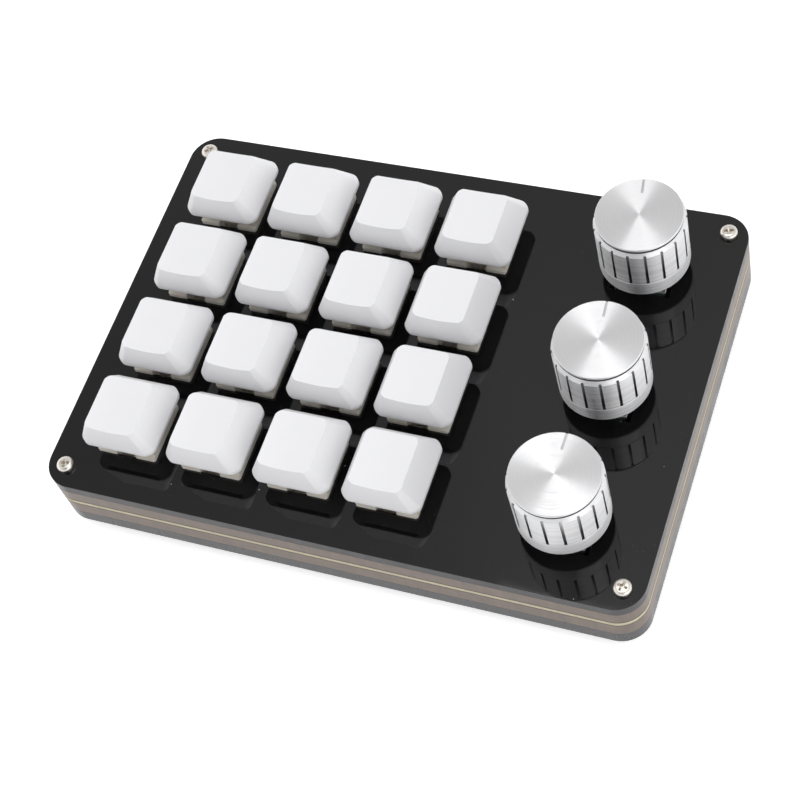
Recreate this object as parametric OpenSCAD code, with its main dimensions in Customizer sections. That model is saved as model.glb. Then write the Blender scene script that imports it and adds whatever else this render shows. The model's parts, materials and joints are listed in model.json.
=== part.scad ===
// Macro keypad: sixteen sprung keys and three knobs that turn and press, on a case of stacked plates.
// The origin lies under the middle of the case, on the surface that it stands on.
// +X points right, +Y to the back and +Z up. Key rows count from the front, key columns from the left.

/* [Key and knob layout] */
// Distance between the middles of two key columns
key_pitch_x = 20.7; // [20.2:0.02:24]
// Distance between the middles of two key rows
key_pitch_y = 21.12; // [20.2:0.02:24]
// Distance between the middles of two knobs
knob_pitch = 32.2; // [27:0.02:33]
// How far the middle knob stands behind the middle of the case
knob_shift = 0.18; // [-1:0.02:1]
// From the last key column to the row of knobs
knob_offset = 37.48; // [36:0.02:46]
// From the first key column to the left edge of the case
edge_left = 17.64; // [16.5:0.02:24]
// From the row of knobs to the right edge of the case
edge_right = 20.28; // [19:0.02:28]
// From the first key row to the front edge of the case
edge_front = 17.66; // [17:0.02:24]
// From the last key row to the back edge of the case
edge_back = 17.98; // [17:0.02:24]

/* [Case] */
// Thickness of the top plate
top_t = 2.65; // [1.5:0.05:3]
// Thickness of the spacer between the top plate and the circuit board
upper_spacer_t = 3.65; // [3.5:0.05:5]
// Thickness of the circuit board
board_t = 1.6; // [1:0.1:2]
// Thickness of the spacer between the circuit board and the bottom plate
lower_spacer_t = 4; // [3.6:0.1:6]
// Thickness of the bottom plate
bottom_t = 3.7; // [2:0.1:5]
// Radius of the upright corners of the plates
corner_r = 6.6; // [3:0.1:9]
// Width of the rim that is left of a spacer
spacer_rim = 6; // [4:0.1:7]
// Radius of the lobe round each screw inside a spacer
lobe_r = 4; // [3:0.1:5]
// Diameter of a rubber foot
foot_d = 9; // [6:0.1:12]
// Height of a rubber foot
foot_h = 3; // [2.9:0.1:6]

/* [Case screws] */
// From the side edges to the screws
screw_inset_x = 4.65; // [3.5:0.05:6]
// From the front and back edges to the screws
screw_inset_y = 5; // [3.5:0.05:6]
// Diameter of the screw shank
screw_d = 2; // [1.6:0.1:2.5]
// Diameter of the pan head
screw_head_d = 4; // [3.6:0.1:5]
// Height of the pan head
screw_head_h = 1.5; // [1.2:0.1:2]
// Width of the nut across its flats
nut_af = 4; // [3.6:0.1:5]
// Thickness of the nut
nut_t = 1.6; // [1:0.1:1.8]
// Length of the shank that stands out of the nut
screw_end = 0.8; // [0.2:0.1:1]

/* [Keycap] */
// Width of the keycap at its skirt
cap_w = 18.05; // [17.9:0.05:19.8]
// Depth of the keycap at its skirt
cap_d = 17.95; // [17.9:0.05:19.8]
// Height of the keycap
cap_h = 7.41; // [7.1:0.01:10]
// Width of the keycap's top
cap_top_w = 11.8; // [11:0.05:14]
// Depth of the keycap's top
cap_top_d = 13.25; // [12:0.05:14]
// Slope of the front of the keycap, from skirt to top
cap_front_draft = 0.85; // [0.5:0.05:2]
// Height of the upright rim round the skirt
cap_rim_h = 0.8; // [0.5:0.1:1.5]
// Radius of the keycap's corners at the skirt
cap_corner_r = 2; // [1.5:0.1:3]
// Radius of the keycap's corners at the top
cap_top_corner_r = 1.6; // [1:0.1:3]
// Radius of the hollow across the keycap's top
dish_r = 25; // [20:1:60]
// Thickness of the keycap's walls
cap_wall = 1.1; // [0.8:0.05:1.15]
// Thickness of the keycap's roof under the hollow
cap_roof = 0.9; // [0.6:0.05:1.1]
// How far the skirt stands above the top plate
cap_lift = 5.52; // [5.3:0.02:6.2]
// Diameter of the socket that holds the stem
socket_d = 5.5; // [5.3:0.1:5.8]

/* [Key switch] */
// How far a key goes down
key_travel = 4; // [2:0.1:4]
// Width of the switch's flange on the top plate
flange_w = 15.6; // [14.6:0.1:16]
// Thickness of the flange
flange_t = 1; // [0.8:0.1:1.2]
// Width of the switch's body in the top plate
switch_w = 13.9; // [13:0.1:14]
// Depth of the switch's body under the top plate's upper face
switch_depth = 5; // [4.6:0.1:5]
// Height of the switch above the top plate
switch_h = 6.6; // [6:0.1:6.6]
// Width of the upper housing's top
switch_top_w = 10.4; // [9.8:0.1:10.4]
// Depth of the upper housing's top
switch_top_d = 9.2; // [8.6:0.1:9.2]
// Diameter of the post under the switch
post_d = 4; // [3.6:0.1:4.4]
// Length of the post and the contact pins under the switch
post_len = 3.3; // [2.8:0.1:3.5]
// Width of the slider inside the housing
slider_w = 7.6; // [7:0.1:7.8]
// Depth of the slider inside the housing
slider_d = 6.4; // [6:0.1:6.8]
// Length of each arm of the cross on the stem
cross_len = 4; // [3.6:0.1:4.1]
// Thickness of the arms of the cross
cross_t = 1.2; // [1:0.1:1.3]
// Diameter of the return spring's coil, middle of the wire to middle of the wire
coil_d = 4; // [3.4:0.1:4.2]
// Thickness of the return spring's wire
wire_d = 0.3; // [0.2:0.05:0.4]

/* [Knob] */
// Diameter of the knob
knob_d = 20.1; // [18:0.1:24]
// Height of the knob
knob_h = 15.81; // [15.5:0.01:22]
// Height of the plain band at the foot of the knob
knob_band_h = 4.2; // [3:0.1:6]
// Width of the gripping slots
slot_w = 0.65; // [0.4:0.05:0.8]
// Depth of the gripping slots
slot_depth = 0.6; // [0.3:0.05:1]
// Diameter of the disc on top of the knob
knob_disc_d = 19.04; // [16:0.02:19.1]
// Height of the sloping rim below the disc
knob_rim_h = 0.95; // [0.5:0.05:1.5]
// Height of the groove between the rim and the disc
knob_groove_h = 0.7; // [0.4:0.05:1]
// Depth of the pointer line in the disc
pointer_depth = 0.3; // [0.2:0.05:0.5]
// Width of the pointer line
pointer_w = 0.55; // [0.4:0.05:1]
// How far a knob goes down when it is pressed
push_travel = 0.5; // [0.3:0.1:0.5]

/* [Rotary encoder] */
// Width of the encoder's body
encoder_w = 11.7; // [11.5:0.1:12.5]
// Depth of the encoder's body
encoder_d = 12; // [11.5:0.1:12.5]
// Height of the encoder's body above the circuit board
encoder_h = 6.5; // [6.2:0.1:7]
// Diameter of the bushing that guides the shaft
bushing_d = 7; // [6.9:0.1:8]
// Height of the bushing above the body
bushing_h = 5; // [4.2:0.1:5]
// Diameter of the shaft
shaft_d = 6; // [5.5:0.1:6]
// Length of the shaft above the body
shaft_len = 15; // [12:0.1:15]
// Length of the flat on the shaft
flat_len = 9; // [7:0.1:9]
// How far the flat lies from the shaft's axis
flat_offset = 1.5; // [1.2:0.1:2]
// Gap between the knob and the encoder's body
knob_seat = 3.8; // [3.2:0.05:4]

/* [USB socket] */
// Width of the socket
usb_w = 8.94; // [8.5:0.02:9.2]
// Height of the socket
usb_h = 3.16; // [3:0.02:3.3]
// Depth of the socket
usb_d = 7.3; // [6.5:0.1:9]

/* [Fits] */
// Gap between a screw and the plates, all round
screw_gap = 0.15; // [0.1:0.05:0.3]
// Gap between a switch and its cut-out, all round
cutout_gap = 0.05; // [0.05:0.01:0.1]
// Gap between a moving piece and the piece that guides it
slide_gap = 0.06; // [0.04:0.01:0.1]
// Gap between pressed-on pieces, such as keycap and stem
seat_gap = 0.03; // [0.02:0.01:0.05]
// Gap between an encoder and its cut-out in the top plate, all round
encoder_gap = 1; // [0.6:0.1:1.2]
// Gap round the pins in the circuit board
pin_gap = 0.2; // [0.1:0.05:0.3]

/* [Hidden] */
$fn = 64;
eps = 0.01;

// Counts of the pattern
key_cols = 4;
key_rows = 4;
knob_count = 3;
slot_count = 17;

// Plan of the case
case_w = edge_left + (key_cols - 1) * key_pitch_x + knob_offset + edge_right;
terminal_out = 1.4;
encoder_reach = encoder_d / 2 + terminal_out + 0.3;
key_block_d = edge_front + (key_rows - 1) * key_pitch_y + edge_back;
knob_block_d = (knob_count - 1) * knob_pitch + 2 * (abs(knob_shift) + encoder_reach + spacer_rim);
case_d = max(key_block_d, knob_block_d);
screw_x = case_w / 2 - screw_inset_x;
screw_y = case_d / 2 - screw_inset_y;
foot_inset = 9;
foot_x = screw_x - foot_inset;
foot_y = screw_y - foot_inset;
knob_x = case_w / 2 - edge_right;
usb_x = knob_x - knob_offset / 2;

// Heights of the stack
bottom_z = foot_h;
lower_spacer_z = bottom_z + bottom_t;
board_z = lower_spacer_z + lower_spacer_t;
upper_spacer_z = board_z + board_t;
top_z = upper_spacer_z + upper_spacer_t;
plate_z = top_z + top_t;

// Keycap, with heights from its own skirt
dish_sag = dish_r - sqrt(dish_r * dish_r - cap_top_w * cap_top_w / 4);
cap_ceiling = cap_h - dish_sag - cap_roof;
cap_back_draft = cap_d - cap_top_d - cap_front_draft;
cap_top_y = (cap_front_draft - cap_back_draft) / 2;
cap_reach = 1;
cap_inner_r = 0.4;
cap_facets = 6;

// Key switch, with heights from the top plate's upper face
cutout_w = switch_w + 2 * cutout_gap;
flange_corner = 0.7;
flange_notch_w = 5.4;
flange_notch_d = 0.8;
switch_roof_t = 1.2;
switch_floor_t = 1.2;
opening_d = socket_d + 0.7;
slider_top = switch_h - switch_roof_t - slide_gap;
slider_h = 4;
spring_bottom = switch_floor_t - switch_depth;
spring_top = slider_top - 1.2;
spring_bore_d = coil_d + 1.2;
spring_turns = 5;
spring_steps = 8;
wire_sides = 4;
neck_top = switch_h - 0.4;
cross_top = cap_lift + cap_ceiling - seat_gap;
pole_d = 2;
pole_bottom = -1.9;
pole_hole_d = 2.5;
pole_hole_bottom = pole_bottom - key_travel - 0.3;
pin_d = 1;
pin_places = [[-3.81, 2.54], [2.54, 5.08]];

// Knob, with heights from its own foot, and encoder, with heights from the circuit board
knob_r = knob_d / 2;
knob_disc_r = knob_disc_d / 2;
knob_chamfer = 0.2;
disc_h = 0.55;
knob_groove_z = knob_h - disc_h - knob_groove_h;
knob_rim_z = knob_groove_z - knob_rim_h;
knob_rim_r = knob_disc_r - 0.2;
knob_neck_r = knob_disc_r - 0.55;
pointer_inner_r = 5.6;
// Turn of each knob and of its slots against its pointer line, front to back
knob_turns = [0.2, 4.2, 8.5];
slot_turns = [11.4, 2, 2];
knob_z = upper_spacer_z + encoder_h + knob_seat;
knob_cavity_r = bushing_d / 2 + 1.3;
knob_cavity_h = bushing_h - knob_seat + push_travel + 0.3;
frame_t = 0.4;
journal_d = 4.4;
rotor_d = 9;
rotor_h = 2.4;
rotor_z = 2.6;
rotor_gap = 0.2;
pocket_floor = 0.9;
shaft_bottom = pocket_floor + push_travel + 0.1;
shoulder_z = rotor_z + rotor_h + push_travel + 0.1;
lug_w = 2;
lug_len = board_t + 1;
terminal_len = board_t + 1;
terminal_w = 0.8;
terminal_t = 0.4;
terminal_places = [[-2.5, -1], [0, -1], [2.5, -1], [-2.5, 1], [2.5, 1]];

// Parts under the circuit board
usb_wall = 0.3;
usb_setback = 0.3;
usb_gap = 1.5;
chip_w = 7;
chip_h = 1;
diode_size = [2.7, 1.6, 1.1];
diode_place = [-5.5, -4.5];

function key_x(c) = -case_w / 2 + edge_left + (c - 1) * key_pitch_x;
function key_y(r) = -case_d / 2 + edge_front + (r - 1) * key_pitch_y;
function knob_y(k) = knob_shift + (k - (knob_count + 1) / 2) * knob_pitch;
function key_name(part, r, c) = str(part, "_r", r, "_c", c);

// ---- Helpers ----

// A box that is centred in plan and stands on z = 0
module box(w, d, h) {
    translate([-w / 2, -d / 2, 0]) cube([w, d, h]);
}

// A slab with round upright corners that stands on z = 0
module slab(w, d, h, r) {
    box(w - 2 * r, d, h);
    box(w, d - 2 * r, h);
    for (x = [-1, 1], y = [-1, 1])
        translate([x * (w / 2 - r), y * (d / 2 - r), 0]) cylinder(r = r, h = h);
}

// A frustum on a rectangular foot, made of two crossed wedges
module frustum(foot_w, foot_d, head_w, head_d, h) {
    intersection() {
        wedge(foot_w, head_w, h, foot_d);
        rotate([0, 0, 90]) wedge(foot_d, head_d, h, foot_w);
    }
}

module wedge(foot, head, h, length) {
    rotate([90, 0, 0])
        linear_extrude(height = length, center = true)
            polygon([[-foot / 2, 0], [foot / 2, 0], [head / 2, h], [-head / 2, h]]);
}

// A cylinder with a flat on its +Y side
module d_shaft(d, h, flat) {
    intersection() {
        cylinder(d = d, h = h);
        translate([0, -d + flat, 0]) box(2 * d, 2 * d, h);
    }
}

module at_screws() {
    for (x = [-screw_x, screw_x], y = [-screw_y, screw_y]) translate([x, y, 0]) children();
}

module at_keys(z) {
    for (r = [1 : key_rows], c = [1 : key_cols]) translate([key_x(c), key_y(r), z]) children();
}

module at_knobs(z) {
    for (k = [1 : knob_count]) translate([knob_x, knob_y(k), z]) children();
}

module screw_holes(t) {
    at_screws() translate([0, 0, -eps]) cylinder(d = screw_d + 2 * screw_gap, h = t + 2 * eps);
}

// ---- Case ----

module top_plate() {
    color([0.13, 0.13, 0.14])
        translate([0, 0, top_z])
            difference() {
                slab(case_w, case_d, top_t, corner_r);
                screw_holes(top_t);
                at_keys(-eps) box(cutout_w, cutout_w, top_t + 2 * eps);
                at_knobs(-eps)
                    box(encoder_w + 2 * encoder_gap, encoder_d + 2 * encoder_gap, top_t + 2 * eps);
            }
}

// A rim that follows the plates, with a lobe round each screw
module spacer(t) {
    difference() {
        slab(case_w, case_d, t, corner_r);
        difference() {
            translate([0, 0, -eps])
                box(case_w - 2 * spacer_rim, case_d - 2 * spacer_rim, t + 2 * eps);
            at_screws() translate([0, 0, -2 * eps]) cylinder(r = lobe_r, h = t + 4 * eps);
        }
        screw_holes(t);
    }
}

module upper_spacer() {
    color([0.55, 0.48, 0.44]) translate([0, 0, upper_spacer_z]) spacer(upper_spacer_t);
}

module lower_spacer() {
    color([0.6, 0.53, 0.5])
        translate([0, 0, lower_spacer_z])
            difference() {
                spacer(lower_spacer_t);
                translate([usb_x, case_d / 2 - spacer_rim / 2, -eps])
                    box(usb_w + 2 * usb_gap, spacer_rim + 2, lower_spacer_t + 2 * eps);
            }
}

module bottom_plate() {
    color([0.37, 0.37, 0.39])
        translate([0, 0, bottom_z])
            difference() {
                slab(case_w, case_d, bottom_t, corner_r);
                screw_holes(bottom_t);
            }
}

// A pan head with a cross recess, on a shank that reaches through the whole stack
module case_screw() {
    shank_len = plate_z - bottom_z + nut_t + screw_end;
    head_r = screw_head_d / 2;
    crown_r = (head_r * head_r + screw_head_h * screw_head_h / 4) / screw_head_h;
    translate([0, 0, -shank_len]) cylinder(d = screw_d, h = shank_len);
    difference() {
        union() {
            cylinder(d = screw_head_d, h = screw_head_h / 2);
            intersection() {
                translate([0, 0, screw_head_h - crown_r]) sphere(r = crown_r);
                translate([0, 0, screw_head_h / 2 - eps]) cylinder(d = screw_head_d, h = screw_head_h);
            }
        }
        for (a = [0, 90]) rotate([0, 0, a]) translate([0, 0, screw_head_h * 0.4])
            frustum(1.2, 0.4, 2.4, 0.7, screw_head_h);
    }
}

module case_screws() {
    color([0.78, 0.76, 0.72]) at_screws() translate([0, 0, plate_z]) case_screw();
}

module case_nuts() {
    color([0.75, 0.74, 0.71])
        at_screws() translate([0, 0, bottom_z - nut_t]) difference() {
            cylinder(r = nut_af / sqrt(3), h = nut_t, $fn = 6);
            translate([0, 0, -eps]) cylinder(d = screw_d + 2 * seat_gap, h = nut_t + 2 * eps);
        }
}

module rubber_feet() {
    color([0.1, 0.1, 0.1])
        for (x = [-foot_x, foot_x], y = [-foot_y, foot_y]) translate([x, y, 0]) rotate_extrude()
            polygon([[0, 0], [foot_d / 2 - 0.9, 0], [foot_d / 2 - 0.5, 0.3], [foot_d / 2, foot_h], [0, foot_h]]);
}

// ---- Key switches ----

// Body and flange in one, with the chamber for the slider, the spring's seat and the pole's hole
module switch_lower_housing() {
    chamber_h = switch_depth + flange_t - switch_floor_t;
    difference() {
        union() {
            difference() {
                box(flange_w, flange_w, flange_t);
                for (x = [-1, 1], y = [-1, 1]) translate([x * flange_w / 2, y * flange_w / 2, -eps])
                    rotate([0, 0, 45]) box(2 * flange_corner, 2 * flange_corner, flange_t + 2 * eps);
                for (y = [-1, 1]) translate([0, y * flange_w / 2, -eps])
                    box(flange_notch_w, 2 * flange_notch_d, flange_t + 2 * eps);
            }
            translate([0, 0, -switch_depth]) box(switch_w, switch_w, switch_depth + eps);
            translate([0, 0, -switch_depth - post_len]) cylinder(d = post_d, h = post_len + eps);
        }
        translate([0, 0, spring_bottom])
            box(slider_w + 4 * slide_gap, slider_d + 4 * slide_gap, chamber_h + eps);
        translate([0, 0, pole_hole_bottom])
            cylinder(d = pole_hole_d, h = spring_bottom - pole_hole_bottom + eps);
    }
}

module switch_lower_housings() {
    color([0.85, 0.8, 0.7]) at_keys(plate_z) switch_lower_housing();
}

// A sloping hood on the flange, with a channel for the slider and a round opening for the stem
module switch_upper_housing() {
    hood_h = switch_h - flange_t;
    channel_h = hood_h - switch_roof_t;
    translate([0, 0, flange_t]) difference() {
        frustum(switch_w, switch_w, switch_top_w, switch_top_d, hood_h);
        translate([0, 0, -eps])
            box(slider_w + 2 * slide_gap, slider_d + 2 * slide_gap, channel_h + eps);
        cylinder(d = opening_d, h = hood_h + eps);
    }
}

module switch_upper_housings() {
    color([0.9, 0.87, 0.8]) at_keys(plate_z) switch_upper_housing();
}

// A coil of wire: rings of corner points along a helix, joined by a skin
module switch_spring() {
    low = spring_bottom + seat_gap + wire_d / 2;
    rise = spring_top - seat_gap - wire_d / 2 - low;
    steps = spring_turns * spring_steps;
    points = [
        for (i = [0 : steps], j = [0 : wire_sides - 1])
            let (turn = i * 360 / spring_steps, side = j * 360 / wire_sides)
            let (r = coil_d / 2 + wire_d / 2 * cos(side))
            [r * cos(turn), r * sin(turn), low + rise * i / steps + wire_d / 2 * sin(side)]
    ];
    skin = [
        for (i = [0 : steps - 1], j = [0 : wire_sides - 1])
            let (a = i * wire_sides, k = (j + 1) % wire_sides)
            [a + j, a + wire_sides + j, a + wire_sides + k, a + k]
    ];
    first_end = [for (j = [0 : wire_sides - 1]) j];
    last_end = [for (j = [wire_sides - 1 : -1 : 0]) steps * wire_sides + j];
    polyhedron(points, concat(skin, [first_end, last_end]));
}

module switch_springs() {
    color([0.8, 0.8, 0.8]) at_keys(plate_z) switch_spring();
}

module switch_contacts() {
    color([0.85, 0.68, 0.35])
        at_keys(plate_z - switch_depth - post_len)
            for (p = pin_places) translate([p[0], p[1], 0]) cylinder(d = pin_d, h = post_len);
}

// ---- Stems and keycaps ----

// Slider with the spring's bore, neck, cross and the pole inside the spring
module stem() {
    difference() {
        translate([0, 0, slider_top - slider_h]) box(slider_w, slider_d, slider_h);
        translate([0, 0, slider_top - slider_h - eps])
            cylinder(d = spring_bore_d, h = spring_top - slider_top + slider_h + eps);
    }
    translate([0, 0, pole_bottom]) cylinder(d = pole_d, h = spring_top - pole_bottom + eps);
    translate([0, 0, slider_top - eps]) cylinder(d = socket_d, h = neck_top - slider_top + eps);
    translate([0, 0, neck_top - eps]) cross(cross_len, cross_t, cross_top - neck_top + eps);
}

module cross(length, t, h) {
    box(length, t, h);
    box(t, length, h);
}

// Four upright pegs at the corners of a rectangle with round corners
module cap_corners(w, d, r, y, h) {
    for (sx = [-1, 1], sy = [-1, 1])
        translate([sx * (w / 2 - r), y + sy * (d / 2 - r), 0]) cylinder(r = r, h = h, $fn = 4 * cap_facets);
}

// The upright rim and the sloping sides, which run on above the top; the inset draws them in for the inside
module cap_form(inset) {
    share = (cap_h + cap_reach - cap_rim_h) / (cap_h - cap_rim_h);
    w = cap_w + (cap_top_w - cap_w) * share - 2 * inset;
    d = cap_d + (cap_top_d - cap_d) * share - 2 * inset;
    r = cap_corner_r + (cap_top_corner_r - cap_corner_r) * share;
    hull() {
        cap_corners(cap_w - 2 * inset, cap_d - 2 * inset, max(cap_corner_r - inset, cap_inner_r), 0, cap_rim_h);
        translate([0, 0, cap_h + cap_reach])
            cap_corners(w, d, max(r - inset, cap_inner_r), cap_top_y * share, eps);
    }
}

// The space inside, below the ceiling and round the stem's socket
module cap_inside(socket_z) {
    difference() {
        translate([0, 0, -eps]) intersection() {
            cap_form(cap_wall);
            box(cap_w, cap_d, cap_ceiling + eps);
        }
        translate([0, 0, socket_z]) cylinder(d = socket_d, h = cap_h);
    }
}

// Hollow cap with a dished top and the socket for the stem's cross
module keycap() {
    socket_z = neck_top + seat_gap - cap_lift;
    difference() {
        cap_form(0);
        translate([0, 0, cap_h - dish_sag + dish_r])
            rotate([90, 0, 0]) cylinder(r = dish_r, h = 2 * cap_d, center = true);
        cap_inside(socket_z);
        translate([0, 0, socket_z - eps])
            cross(cross_len + 2 * seat_gap, cross_t + 2 * seat_gap, cap_ceiling - socket_z + eps);
    }
}

// ---- Knobs and encoders ----

// Turned knob: band, line, slotted grip, sloping rim, groove and disc, with a bore for the shaft
module knob(slot_turn) {
    line_z = knob_band_h - 0.2;
    bore_h = shaft_len - knob_seat + 0.2;
    slot_h = knob_rim_z + 0.4 * knob_rim_h - knob_band_h;
    difference() {
        rotate_extrude() polygon([
            [0, 0],
            [knob_r - knob_chamfer, 0],
            [knob_r, knob_chamfer],
            [knob_r, line_z - 0.1],
            [knob_r - 0.15, line_z],
            [knob_r, line_z + 0.1],
            [knob_r, knob_rim_z],
            [knob_rim_r, knob_groove_z],
            [knob_neck_r, knob_groove_z],
            [knob_neck_r, knob_groove_z + knob_groove_h],
            [knob_disc_r, knob_groove_z + knob_groove_h],
            [knob_disc_r, knob_h - 0.15],
            [knob_disc_r - 0.15, knob_h],
            [0, knob_h]
        ]);
        translate([0, 0, -eps]) cylinder(r = knob_cavity_r, h = knob_cavity_h + eps);
        d_shaft_bore(bore_h);
        for (i = [0 : slot_count - 1]) rotate([0, 0, slot_turn + (i + 0.25) * 360 / slot_count])
            translate([knob_r, 0, knob_band_h]) box(2 * slot_depth, slot_w, slot_h);
        translate([0, (pointer_inner_r + knob_r) / 2, knob_h - pointer_depth])
            box(pointer_w, knob_r - pointer_inner_r, pointer_depth + eps);
    }
}

// Bore whose flat lets the knob sit on the shaft one way only
module d_shaft_bore(h) {
    d_shaft(shaft_d + 2 * seat_gap, h, flat_offset + seat_gap);
    cylinder(d = shaft_d + 2 * seat_gap, h = shaft_len - flat_len - knob_seat + seat_gap);
}

module encoder_base() {
    base_h = encoder_h - frame_t;
    difference() {
        box(encoder_w - 2 * frame_t, encoder_d, base_h);
        translate([0, 0, rotor_z - rotor_gap]) cylinder(d = rotor_d + 2 * rotor_gap, h = base_h);
        translate([0, 0, pocket_floor]) cylinder(d = journal_d + 2 * rotor_gap, h = base_h);
    }
}

module encoder_bases() {
    color([0.35, 0.42, 0.36]) at_knobs(upper_spacer_z) encoder_base();
}

// Bent sheet over the base, with lugs through the board and the bushing on top
module encoder_frame() {
    difference() {
        union() {
            translate([0, 0, encoder_h - frame_t]) box(encoder_w, encoder_d, frame_t);
            for (x = [-1, 1]) translate([x * (encoder_w - frame_t) / 2, 0, 0]) {
                box(frame_t, encoder_d, encoder_h);
                translate([0, 0, -lug_len]) box(frame_t, lug_w, lug_len + eps);
            }
            translate([0, 0, encoder_h - eps]) cylinder(d = bushing_d, h = bushing_h + eps);
        }
        cylinder(d = shaft_d + 2 * slide_gap, h = encoder_h + bushing_h + eps);
    }
}

module encoder_frames() {
    color([0.75, 0.75, 0.76]) at_knobs(upper_spacer_z) encoder_frame();
}

// Leads that leave the base and turn down through the board
module encoder_terminals() {
    lead_y = encoder_d / 2 + terminal_out;
    color([0.8, 0.8, 0.78])
        at_knobs(upper_spacer_z)
            for (p = terminal_places) {
                translate([p[0], p[1] * (encoder_d / 2 + terminal_out / 2), terminal_t])
                    box(terminal_w, terminal_out, terminal_t);
                translate([p[0], p[1] * (lead_y - terminal_t / 2), -terminal_len])
                    box(terminal_w, terminal_t, terminal_len + 2 * terminal_t);
            }
}

// Shaft with a flat for the knob, a shoulder above the rotor and a journal through it
module encoder_shaft() {
    top = encoder_h + shaft_len;
    translate([0, 0, shaft_bottom])
        d_shaft(journal_d, shoulder_z - shaft_bottom + eps, flat_offset);
    translate([0, 0, shoulder_z]) cylinder(d = shaft_d, h = top - flat_len - shoulder_z);
    translate([0, 0, top - flat_len - eps]) d_shaft(shaft_d, flat_len - 0.5 + eps, flat_offset);
    translate([0, 0, top - 0.5]) d_shaft(shaft_d - 1, 0.5, flat_offset);
}

// Contact wheel that turns with the shaft and lets it slide through
module encoder_rotor() {
    translate([0, 0, rotor_z]) difference() {
        cylinder(d = rotor_d, h = rotor_h);
        translate([0, 0, -eps])
            d_shaft(journal_d + 2 * slide_gap, rotor_h + 2 * eps, flat_offset + slide_gap);
    }
}

// ---- Circuit board ----

module circuit_board() {
    color([0.2, 0.26, 0.2])
        difference() {
            translate([0, 0, board_z]) slab(case_w, case_d, board_t, corner_r);
            translate([0, 0, board_z]) screw_holes(board_t);
            at_keys(board_z - eps) {
                cylinder(d = post_d + 2 * cutout_gap, h = board_t + 2 * eps);
                for (p = pin_places) translate([p[0], p[1], 0])
                    cylinder(d = pin_d + 2 * pin_gap, h = board_t + 2 * eps);
            }
            at_knobs(board_z - eps) {
                for (x = [-1, 1]) translate([x * (encoder_w - frame_t) / 2, 0, 0])
                    box(frame_t + 4 * pin_gap, lug_w + 2 * pin_gap, board_t + 2 * eps);
                for (p = terminal_places)
                    translate([p[0], p[1] * (encoder_d + 2 * terminal_out - terminal_t) / 2, 0])
                        cylinder(d = terminal_w + 2 * pin_gap, h = board_t + 2 * eps);
            }
        }
}

// An upright stadium outline laid along Y
module usb_outline(inset, depth) {
    w = usb_w - 2 * inset;
    h = usb_h - 2 * inset;
    rotate([90, 0, 0]) linear_extrude(height = depth) {
        square([w - h, h], center = true);
        for (x = [-1, 1]) translate([x * (w - h) / 2, 0]) circle(d = h);
    }
}

// Shell with a closed back and the contact tongue inside
module usb_socket() {
    mouth_y = case_d / 2 - usb_setback;
    color([0.75, 0.75, 0.75])
        translate([usb_x, mouth_y, board_z - usb_h / 2]) {
            difference() {
                usb_outline(0, usb_d);
                translate([0, eps, 0]) usb_outline(usb_wall, usb_d - 1 + eps);
            }
            translate([0, -usb_d + 3, -0.35]) box(6.7, 4.5, 0.7);
        }
}

module controller_chip() {
    color([0.15, 0.15, 0.15]) translate([usb_x, 0, board_z - chip_h]) box(chip_w, chip_w, chip_h);
}

module board_diodes() {
    color([0.2, 0.2, 0.2])
        at_keys(board_z - diode_size[2])
            translate([diode_place[0], diode_place[1], 0]) box(diode_size[0], diode_size[1], diode_size[2]);
}

// ---- Assembly ----

top_plate();
upper_spacer();
circuit_board();
lower_spacer();
bottom_plate();
case_screws();
case_nuts();
rubber_feet();
switch_lower_housings();
switch_upper_housings();
switch_springs();
switch_contacts();
encoder_bases();
encoder_frames();
encoder_terminals();
usb_socket();
controller_chip();
board_diodes();
for (r = [1 : key_rows], c = [1 : key_cols]) {
    color([0.93, 0.93, 0.94]) translate([key_x(c), key_y(r), plate_z + cap_lift]) keycap();
    color([0.8, 0.8, 0.78]) translate([key_x(c), key_y(r), plate_z]) stem();
}
for (k = [1 : knob_count]) {
    color([0.8, 0.8, 0.82])
            translate([knob_x, knob_y(k), knob_z]) rotate([0, 0, knob_turns[k - 1]]) knob(slot_turns[k - 1]);
    color([0.7, 0.7, 0.72])
            translate([knob_x, knob_y(k), upper_spacer_z]) rotate([0, 0, knob_turns[k - 1]]) encoder_shaft();
    color([0.3, 0.3, 0.3])
            translate([knob_x, knob_y(k), upper_spacer_z]) rotate([0, 0, knob_turns[k - 1]]) encoder_rotor();
}
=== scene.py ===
"""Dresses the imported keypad: finer keycaps, knobs, plates and screws, finishes, and a plain studio."""

import json
import math

import bmesh
import bpy
from bpy.props import FloatProperty, FloatVectorProperty, IntProperty, PointerProperty
from mathutils import Matrix, Vector


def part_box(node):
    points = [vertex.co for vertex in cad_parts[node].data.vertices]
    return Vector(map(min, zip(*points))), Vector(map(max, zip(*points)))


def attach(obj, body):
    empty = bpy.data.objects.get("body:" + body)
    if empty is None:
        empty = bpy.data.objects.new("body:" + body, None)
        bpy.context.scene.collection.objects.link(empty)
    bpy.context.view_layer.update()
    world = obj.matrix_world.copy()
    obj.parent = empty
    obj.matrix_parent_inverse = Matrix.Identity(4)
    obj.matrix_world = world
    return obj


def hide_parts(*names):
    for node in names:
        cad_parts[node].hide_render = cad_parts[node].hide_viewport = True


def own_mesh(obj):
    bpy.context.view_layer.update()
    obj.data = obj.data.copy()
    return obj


bl_info = {
    "name": "Macro keypad",
    "version": (1, 0, 0),
    "blender": (4, 5, 0),
    "location": "3D View > Sidebar > Keypad",
    "description": "Builds the finer pieces, finishes and studio of a keypad with keys and knobs",
    "category": "Add Mesh",
}

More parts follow.
